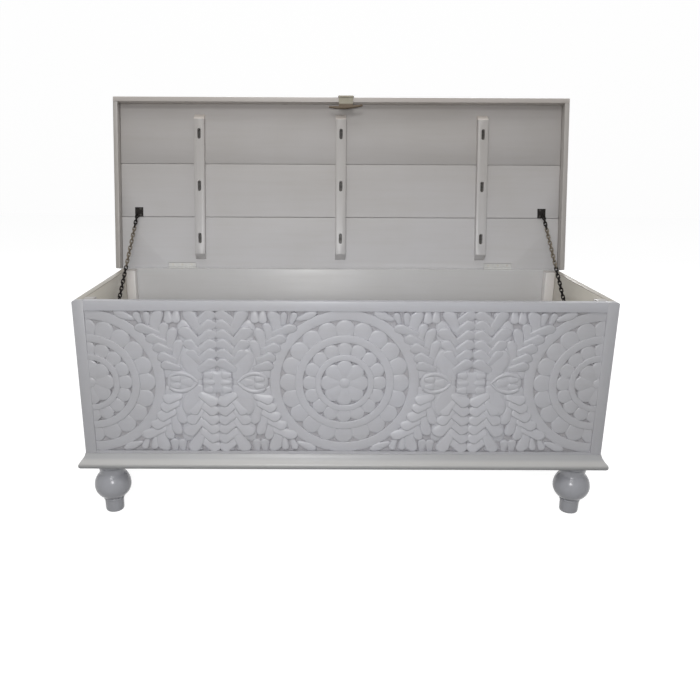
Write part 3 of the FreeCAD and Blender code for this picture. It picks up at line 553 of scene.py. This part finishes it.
# Radii and heights of a foot in millimetres, upwards: toe, stem with a bead, ball, neck, collar, tenon
foot_toe = [(18.7, 0), (20.4, 0.8), (21.4, 2.6), (21.8, 6), (22.0, 18), (22.4, 29.4)]
foot_bead = [(23.5, 30.2), (24.0, 31.8), (23.8, 33.4), (22.9, 34.8), (23.3, 35.6)]
ball_radius, ball_middle, ball_rise, ball_drop = 43, 68, 43, 38
ball_start, ball_step, ball_rings = -54, 5, 21
ball_angles = [math.radians(ball_start + ball_step * ring) for ring in range(ball_rings)]
foot_ball = [
    (ball_radius * math.cos(turn), ball_middle + (ball_rise if turn > 0 else ball_drop) * math.sin(turn))
    for turn in ball_angles
]
foot_waist = [(29.5, 100.5), (29.2, 103), (29.3, 107), (30, 111)]
foot_neck = foot_waist + [(31.3, 114.5), (33, 117), (34.6, 118.6), (35, 119.6)]
foot_collar = [(35, 131.9), (11, 131.9), (11, 148)]
foot_outline = foot_toe + foot_bead + foot_ball + foot_neck + foot_collar
lathe_facets = 64


def turned_foot(node):
    """A foot turned on the lathe, drawn up from its toe ring by ring."""
    low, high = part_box(node)
    deselect_all()
    toe_radius = foot_outline[0][0] * mm
    bpy.ops.mesh.primitive_circle_add(vertices=lathe_facets, radius=toe_radius, fill_type="NGON")
    foot = bpy.context.object
    foot.name = node + "_turned"
    into_edit(foot, "FACE")
    bpy.ops.mesh.select_all(action="SELECT")
    for (old_radius, old_height), (radius, height) in zip(foot_outline, foot_outline[1:]):
        rise = (height - old_height) * mm
        swell = radius / old_radius
        bpy.ops.mesh.extrude_region_move(TRANSFORM_OT_translate={"value": (0, 0, rise)})
        bpy.ops.transform.resize(value=(swell, swell, 1))
    bpy.ops.mesh.select_all(action="SELECT")
    bpy.ops.mesh.normals_make_consistent(inside=False)
    out_of_edit()
    middle = (low + high) / 2
    foot.data.transform(Matrix.Translation((middle.x, middle.y, low.z)))
    smooth_by_angle(foot, 50)
    return foot


for depth_name in ("front", "rear"):
    for side_name in ("left", "right"):
        node = f"foot_{depth_name}_{side_name}"
        dress(turned_foot(node), foot_paint, "box", "painted_wood", node)

# Carved front panel

carving_ground = 9 * mm
lobe_size = (26 * mm, 46 * mm, 8 * mm)
lobe_tip_depth = 1.6 * mm
lobe_root_depth = 5.6 * mm
hand_of_carver = random.Random(11)
form_facets = 20
wall_share = 0.5
# Steps of a form's rounded top, inwards as a share of its width and up as a share of its height
crown_steps = ((0.03, 0.24), (0.06, 0.16), (0.09, 0.07))


def carved_form(name, size, root_share, tip_round, root_round, crown_share=0.06):
    """A closed pillow of carved wood that lies along y, from its root at 0 to its round tip."""
    width, length, height = size
    deselect_all()
    bpy.ops.mesh.primitive_circle_add(vertices=form_facets, radius=width / 2, fill_type="NGON")
    form = bpy.context.object
    form.name = name
    into_edit(form, "VERT")
    bpy.ops.mesh.select_all(action="SELECT")
    bpy.ops.transform.resize(value=(1, 2 * tip_round / width, 1))
    bpy.ops.transform.translate(value=(0, length - tip_round, 0))
    select_verts(form, lambda place: place.y < length - 1.01 * tip_round)
    bpy.ops.transform.translate(value=(0, tip_round - length, 0))
    bpy.ops.transform.resize(value=(root_share, root_round / tip_round, 1), center_override=(0, 0, 0))
    bpy.ops.transform.translate(value=(0, root_round, 0))
    bpy.ops.mesh.select_all(action="SELECT")
    bpy.ops.mesh.extrude_region_move(TRANSFORM_OT_translate={"value": (0, 0, wall_share * height)})
    roll = min(width, lobe_size[0])
    for inset_share, rise_share in crown_steps:
        bpy.ops.mesh.inset(thickness=inset_share * roll, depth=rise_share * height)
    bpy.ops.mesh.poke(offset=crown_share * height)
    bpy.ops.mesh.select_all(action="SELECT")
    bpy.ops.mesh.normals_make_consistent(inside=False)
    out_of_edit()
    return form


def lay_form(form, size, root, tip, width, bow=0.0, lean=0.0):
    """A copy of a carved form from root to tip, which may bow sideways and lean over its neighbour."""
    piece = bpy.data.objects.new(form.name, form.data.copy())
    bpy.context.scene.collection.objects.link(piece)
    for vertex in piece.data.vertices:
        share = vertex.co.y / size[1]
        vertex.co.x += bow * size[0] / width * 4 * share * (1 - share)
    along = tip - root
    across = Vector((along.z, 0, -along.x)).normalized() * (width / size[0])
    across.y = -lean / size[0]
    out = Vector((0, -1, 0))
    turn = Matrix((across, along / size[1], out)).transposed()
    piece.data.transform(Matrix.Translation(root) @ turn.to_4x4())
    return piece


def carved_roll(name, points):
    """A rolled band along a smooth line through (place, radius) points."""
    line = bpy.data.curves.new(name, "CURVE")
    line.dimensions = "3D"
    line.bevel_depth = 1.0
    line.bevel_resolution = 3
    line.use_fill_caps = True
    spline = line.splines.new("NURBS")
    spline.points.add(len(points) - 1)
    for point, (place, radius) in zip(spline.points, points):
        point.co = (*place, 1)
        point.radius = radius
    spline.order_u = 3
    spline.use_endpoint_u = True
    spline.resolution_u = 5
    roll = bpy.data.objects.new(name, line)
    bpy.context.scene.collection.objects.link(roll)
    make_active(roll)
    bpy.ops.object.convert(target="MESH")
    return bpy.context.object


tongue_lobe = carved_form("tongue_lobe", lobe_size, 0.7, 13 * mm, 6 * mm)
pointed_lobe = carved_form("pointed_lobe", lobe_size, 0.6, 22 * mm, 8 * mm)

# Lobes of a quarter leaf field in millimetres, as root, tip, width and bow, from the vein and mid-height
barb_pitch = 22.4
inner_barbs = [(44, 24 + barb_pitch * row, -2.5, 48 + barb_pitch * row, 28, 6.0) for row in range(6)]
outer_barbs = [
    (36, 40, 68, 74, 26, -5.0),
    (36, 62, 74, 97, 27, -5.0),
    (36, 86, 82, 124, 31, -6.0),
    (36, 112, 70, 167, 30, -6.0),
]
upright_tongues = [
    (94, 48, 79, 101, 24, 3.0),
    (106, 70, 91, 129, 25, 3.0),
    (121, 92, 110, 140, 23, 3.0),
    (140, 104, 121, 168, 30, 6.0),
]
finger_leaves = [
    (80, 30, 128, 40, 25, -4.0),
    (87, 46, 134, 60, 27, -5.0),
    (97, 68, 144, 82, 27, -5.0),
    (109, 89, 158, 104, 26, -4.0),
    (121, 110, 181, 129, 25, -3.0),
]
edge_buds = [
    (44, 144, 48, 166, 15, 0.0),
    (150, 132, 153, 165, 18, 0.0),
    (166, 136, 177, 164, 18, 0.0),
    (105, 170, 104, 137, 22, 0.0),
    (86, 170, 87, 138, 22, 0.0),
]
knot_blocks = [
    (33, 18, 8, 17, 19, 0.0),
    (108, 8.5, 82, 8, 17, 0.0),
]
pointed_leaves = [
    (56, 14, 69, 80, 42, 0.0),
    (178, 146, 226, 164, 20, 0.0),
]
# Lobes on the middle line, as root, tip, width, bow and the depths of tip and root
middle_lobes = [
    (33, 0, 4, 0, 14, 0.0, 2.4, 2.4),
    (84, 0, 56, 0, 24, 0.0, 3.4, 3.6),
    (-30, 0, 34, 0, 60, 0.0, 3.8, 3.8),
]
# The rolled band of a quarter palmette as points with a radius, and how deep its crest lies
palmette_depth = 2.4
palmette_roll = [(45, 0, 3), (54, 10, 5), (66, 18, 6), (82, 22, 6.5), (98, 20.5, 6.5), (108, 13, 6)]
# Low blades that the lobes stand on, as root, tip, width and depth
leaf_blades = [
    (20, -2, 20, 176, 44, 5.2),
    (36, 30, 78, 146, 40, 5.6),
    (84, 14, 150, 136, 46, 5.6),
    (34, 0, 116, 0, 50, 4.6),
    (60, 10, 96, 96, 40, 5.6),
    (44, 2, 58, 64, 40, 4.0),
    (100, 24, 122, 24, 34, 6.4),
]
barb_lean, barb_root_depth = 5.0, 3.6 * mm
leaf_tip_depth, leaf_root_depth = 2.6 * mm, 4.0 * mm
knot_tip_depth, knot_root_depth = 2.4 * mm, 2.8 * mm
sway_limit, breadth_limit = 0.7, 0.6


def leaf_field(name, vein_x):
    """All that is carved between two medallions, four ways round its middle."""
    pieces = []

    def spot(u, w, depth):
        return Vector((vein_x + side * u * mm, front_face + depth, panel_middle + upward * w * mm))

    def lay(form, root_u, root_w, tip_u, tip_w, width, bow, lean=0.0, tip=lobe_tip_depth,
            root=lobe_root_depth):
        sway = hand_of_carver.uniform(-sway_limit, sway_limit)
        turned = side * upward
        start = spot(root_u, root_w, root + lobe_size[2])
        end = spot(tip_u + sway, tip_w, tip + lobe_size[2])
        breadth = (width + hand_of_carver.uniform(-breadth_limit, breadth_limit)) * mm
        bend, tilt = bow * turned * mm, lean * turned * mm
        pieces.append(lay_form(form, lobe_size, start, end, breadth, bend, tilt))

    for side in (-1, 1):
        for upward in (-1, 1):
            for lobe in inner_barbs:
                lay(tongue_lobe, *lobe, lean=barb_lean, root=barb_root_depth)
            for lobe in outer_barbs + finger_leaves:
                lay(tongue_lobe, *lobe, lean=-barb_lean, root=barb_root_depth)
            for lobe in upright_tongues + edge_buds:
                lay(tongue_lobe, *lobe)
            for lobe in pointed_leaves:
                lay(pointed_lobe, *lobe, tip=leaf_tip_depth, root=leaf_root_depth)
            for lobe in knot_blocks:
                lay(tongue_lobe, *lobe, tip=knot_tip_depth, root=knot_root_depth)
            for *blade, depth in leaf_blades:
                lay(tongue_lobe, *blade, 0.0, tip=depth * mm, root=depth * mm)
            places = [
                (spot(u, w, (palmette_depth + radius) * mm), radius * mm) for u, w, radius in palmette_roll
            ]
            pieces.append(carved_roll("carved_roll", places))
        upward = 1
        for *lobe, tip_depth, root_depth in middle_lobes:
            lay(tongue_lobe, *lobe, tip=tip_depth * mm, root=root_depth * mm)
    return joined(name, pieces)


# Medallions in three raised tiers, in millimetres as inner radius, outer radius and depth of each ring
medallion_rings = [(146, 169, 5.2), (94, 112, 3.2), (53, 67, 1.6)]
# Rows of petals as count, root radius, tip radius, width and depth
petal_rows = [(20, 104, 148, 45.5, 5.4), (16, 60, 96.5, 37, 3.4), (8, 8, 55, 40, 1.8)]
ring_facets, ring_bedding, ring_roll = 96, 2 * mm, 1.6 * mm
petal_height, petal_root_round = 7 * mm, 4 * mm
petal_tip_share, petal_crown = 0.49, 0.14
innermost_root_share, root_taper = 0.5, 1.12
petal_start_share = 0.2
boss_radius = 14
boss_height, boss_depth, boss_crown = 9 * mm, 0.8 * mm, 0.26


def carved_ring(inner, outer, depth):
    """A raised ring with rolled edges."""
    height = carving_ground - depth + ring_bedding
    deselect_all()
    bpy.ops.mesh.primitive_circle_add(vertices=ring_facets, radius=outer)
    ring = bpy.context.object
    into_edit(ring)
    bpy.ops.mesh.select_all(action="SELECT")
    bpy.ops.mesh.extrude_region_move()
    bpy.ops.transform.resize(value=(inner / outer, inner / outer, 1))
    bpy.ops.mesh.select_all(action="SELECT")
    bpy.ops.mesh.extrude_region_move(TRANSFORM_OT_translate={"value": (0, 0, height)})
    mesh = bmesh.from_edit_mesh(ring.data)
    for edge in mesh.edges:
        rim_edge = all(vertex.co.z > height / 2 for vertex in edge.verts)
        ends = [vertex.co.xy.length for vertex in edge.verts]
        edge.select_set(rim_edge and abs(ends[0] - ends[1]) < near)
    bmesh.update_edit_mesh(ring.data)
    bpy.ops.mesh.bevel(offset=ring_roll, segments=3, affect="EDGES")
    bpy.ops.mesh.select_all(action="SELECT")
    bpy.ops.mesh.normals_make_consistent(inside=False)
    out_of_edit()
    ring.data.transform(Matrix.Rotation(math.radians(90), 4, "X"))
    ring.data.transform(Matrix.Translation((0, front_face + depth + height, panel_middle)))
    return ring


def cut_at_stile(piece, side):
    """Takes off what would lie behind the stile."""
    into_edit(piece)
    bpy.ops.mesh.select_all(action="SELECT")
    edge = side * panel_half_width
    bpy.ops.mesh.bisect(plane_co=(edge, 0, 0), plane_no=(side, 0, 0), use_fill=True, clear_outer=True)
    out_of_edit()
    return piece


def medallion(name, centre_x, side=0):
    """Rings, rows of petals and a boss, cut off at the stile where a side is given."""
    pieces = []
    for inner, outer, depth in medallion_rings:
        ring = carved_ring(inner * mm, outer * mm, depth * mm)
        ring.data.transform(Matrix.Translation((centre_x, 0, 0)))
        pieces.append(ring)
    for count, root_radius, tip_radius, width, depth in petal_rows:
        size = (width * mm, (tip_radius - root_radius) * mm, petal_height)
        root_share = root_taper * root_radius / tip_radius
        if root_radius < boss_radius:
            root_share = innermost_root_share
        tip_round = petal_tip_share * width * mm
        petal = carved_form("petal", size, root_share, tip_round, petal_root_round, petal_crown)
        for step in range(count):
            angle = 2 * math.pi * step / count
            heading = Vector((math.cos(angle), 0, math.sin(angle)))
            middle = Vector((centre_x, front_face + depth * mm + size[2], panel_middle))
            root = middle + heading * root_radius * mm
            tip = middle + heading * tip_radius * mm
            start = middle + heading * petal_start_share * tip_radius * mm
            if side and side * start.x > panel_half_width:
                continue
            pieces.append(lay_form(petal, size, root, tip, width * mm))
        bpy.data.objects.remove(petal)
    boss_size = (2 * boss_radius * mm, 2 * boss_radius * mm, boss_height)
    boss = carved_form("boss", boss_size, 1.0, boss_radius * mm, boss_radius * mm, boss_crown)
    low = Vector((centre_x, front_face + boss_depth + boss_size[2], panel_middle - boss_radius * mm))
    high = low + Vector((0, 0, 2 * boss_radius * mm))
    pieces.append(lay_form(boss, boss_size, low, high, boss_size[0]))
    bpy.data.objects.remove(boss)
    if side:
        pieces = [cut_at_stile(piece, side) for piece in pieces]
    return joined(name, pieces)


def carving_board():
    """The board that the carving stands out from, as wide and tall as the opening of the frame."""
    deselect_all()
    bpy.ops.mesh.primitive_cube_add(size=1)
    board = bpy.context.object
    board.name = "carved_panel_board"
    into_edit(board, "VERT")
    bpy.ops.mesh.select_all(action="SELECT")
    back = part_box("front_carved_panel")[1].y
    front = front_face + carving_ground
    tall = panel_top - panel_bottom
    bpy.ops.transform.resize(value=(2 * panel_half_width, back - front, tall))
    bpy.ops.transform.translate(value=(0, (front + back) / 2, panel_middle))
    bpy.ops.mesh.subdivide(number_cuts=3)
    out_of_edit()
    return board


carved_pieces = [
    leaf_field("carved_leaves_left", -panel_half_width / 2),
    leaf_field("carved_leaves_right", panel_half_width / 2),
    medallion("carved_medallion_middle", 0),
    medallion("carved_medallion_left", -panel_half_width, -1),
    medallion("carved_medallion_right", panel_half_width, 1),
]
dress(carving_board(), carved_paint, "box", "painted_wood", "front_carved_panel")
for piece in carved_pieces:
    dress(piece, carved_paint, "box", "painted_wood")
for form in (tongue_lobe, pointed_lobe):
    bpy.data.objects.remove(form)

# Finishes of the nodes that stay as they are

slot_finish = {
    "painted_wood": paint_upright,
    "hinge_steel": hinge_steel,
    "black_iron": black_iron,
    "aged_brass": aged_brass,
    "dark_bronze": dark_bronze,
}
node_finish = {
    "box_fitting_screws": fitting_screws,
    "lid_fitting_screws": fitting_screws,
    "pull_handle": pull_finish,
    "batten_screws": slot_screws_painted_shade,
    # The middle stretches of the chains carry the painted sheen
    "chain_stretch_2": chain_painted_sheen,
    "chain_stretch_3": chain_painted_sheen,
    "chain_stretch_4": chain_painted_sheen,
}
for entry in frame["record"]["subparts"]:
    node = frame["nodes"][entry["node"]]
    node.data.materials.clear()
    node.data.materials.append(node_finish.get(entry["node"], slot_finish[entry["material_slot"]]))


# Stage, light and camera

floor_size, backdrop_height = 14, 8
floor_tone, floor_glow = (0.3, 0.3, 0.3, 1), 0.93
world_light, white_background = 0.22, 1.0
white = (1, 1, 1, 1)
trunk_middle = (0, 0, 0.4)


def seen_directly(tree):
    """One for rays from the camera, off gloss and through glass, which see the white background."""
    path = add_node(tree, "ShaderNodeLightPath")
    mirrored = add_node(tree, "ShaderNodeMath", operation="MAXIMUM")
    link(tree, path.outputs["Is Glossy Ray"], mirrored.inputs[0])
    link(tree, path.outputs["Is Transmission Ray"], mirrored.inputs[1])
    seen = add_node(tree, "ShaderNodeMath", operation="MAXIMUM")
    link(tree, path.outputs["Is Camera Ray"], seen.inputs[0])
    link(tree, mirrored.outputs["Value"], seen.inputs[1])
    return seen.outputs["Value"]


def pale_floor():
    """A pale floor and backdrop that read as white to the camera and still take a soft shadow."""
    bpy.ops.mesh.primitive_plane_add(size=floor_size, location=(0, 0, 0))
    floor = bpy.context.object
    floor.name = "floor"
    into_edit(floor)
    mesh = bmesh.from_edit_mesh(floor.data)
    for edge in mesh.edges:
        edge.select_set(all(vertex.co.y > 0 for vertex in edge.verts))
    bmesh.update_edit_mesh(floor.data)
    bpy.ops.mesh.extrude_region_move(TRANSFORM_OT_translate={"value": (0, 0, backdrop_height)})
    out_of_edit()
    material, tree, shader = new_material("pale_floor")
    shader.inputs["Base Color"].default_value = floor_tone
    shader.inputs["Roughness"].default_value = 0.9
    shader.inputs["Specular IOR Level"].default_value = 0.0
    glow = add_node(tree, "ShaderNodeMath", operation="MULTIPLY")
    glow.inputs[1].default_value = floor_glow
    link(tree, seen_directly(tree), glow.inputs[0])
    shader.inputs["Emission Color"].default_value = white
    link(tree, glow.outputs["Value"], shader.inputs["Emission Strength"])
    floor.data.materials.append(material)


def soft_lamp(name, place, target, size, power):
    """A rectangular lamp that faces its target."""
    lamp = bpy.data.lights.new(name, "AREA")
    lamp.shape = "RECTANGLE"
    lamp.size, lamp.size_y = size
    lamp.energy = power
    holder = bpy.data.objects.new(name, lamp)
    holder.location = place
    holder.rotation_euler = (Vector(target) - Vector(place)).to_track_quat("-Z", "Y").to_euler()
    bpy.context.scene.collection.objects.link(holder)


def studio_light():
    """Even light from all round, a lamp beside the camera and three larger lamps."""
    world = bpy.data.worlds.new("studio")
    bpy.context.scene.world = world
    world.use_nodes = True
    tree = world.node_tree
    background = tree.nodes["Background"]
    level = add_node(tree, "ShaderNodeMapRange", {"To Min": world_light, "To Max": white_background})
    link(tree, seen_directly(tree), level.inputs["Value"])
    link(tree, level.outputs["Result"], background.inputs["Strength"])
    background.inputs["Color"].default_value = white
    soft_lamp("camera_lamp", place=(-0.18, -1.85, 0.98), target=(0, 0, 0.42), size=(0.4, 0.4), power=13.2)
    soft_lamp("high_lamp", place=(-0.5, -3.0, 3.6), target=trunk_middle, size=(1.0, 1.0), power=28)
    soft_lamp("top_lamp", place=(0, 0, 3.2), target=trunk_middle, size=(2.4, 1.6), power=22)
    soft_lamp("rear_lamp", place=(0.4, 3.2, 1.6), target=trunk_middle, size=(2.4, 1.6), power=60)


def photo_camera():
    """The camera where the picture was taken from, with angles in degrees."""
    look_down, swing, roll = 16.694, -0.08, 0.248
    data = bpy.data.cameras.new("photo_camera")
    data.sensor_width = 36
    data.lens = 36.56
    data.shift_x = 0.045
    data.shift_y = 0.0081
    camera = bpy.data.objects.new("photo_camera", data)
    pitch = math.radians(90 - look_down)
    turn = Matrix.Rotation(math.radians(swing), 4, "Z")
    turn = turn @ Matrix.Rotation(pitch, 4, "X") @ Matrix.Rotation(math.radians(roll), 4, "Z")
    place = Vector((-61.3 * mm, front_face - 1521.0 * mm, rim + 333.1 * mm))
    camera.matrix_world = Matrix.Translation(place) @ turn
    bpy.context.scene.collection.objects.link(camera)
    bpy.context.scene.camera = camera


deselect_all()
pale_floor()
studio_light()
photo_camera()
bpy.context.scene.view_settings.view_transform = "Standard"
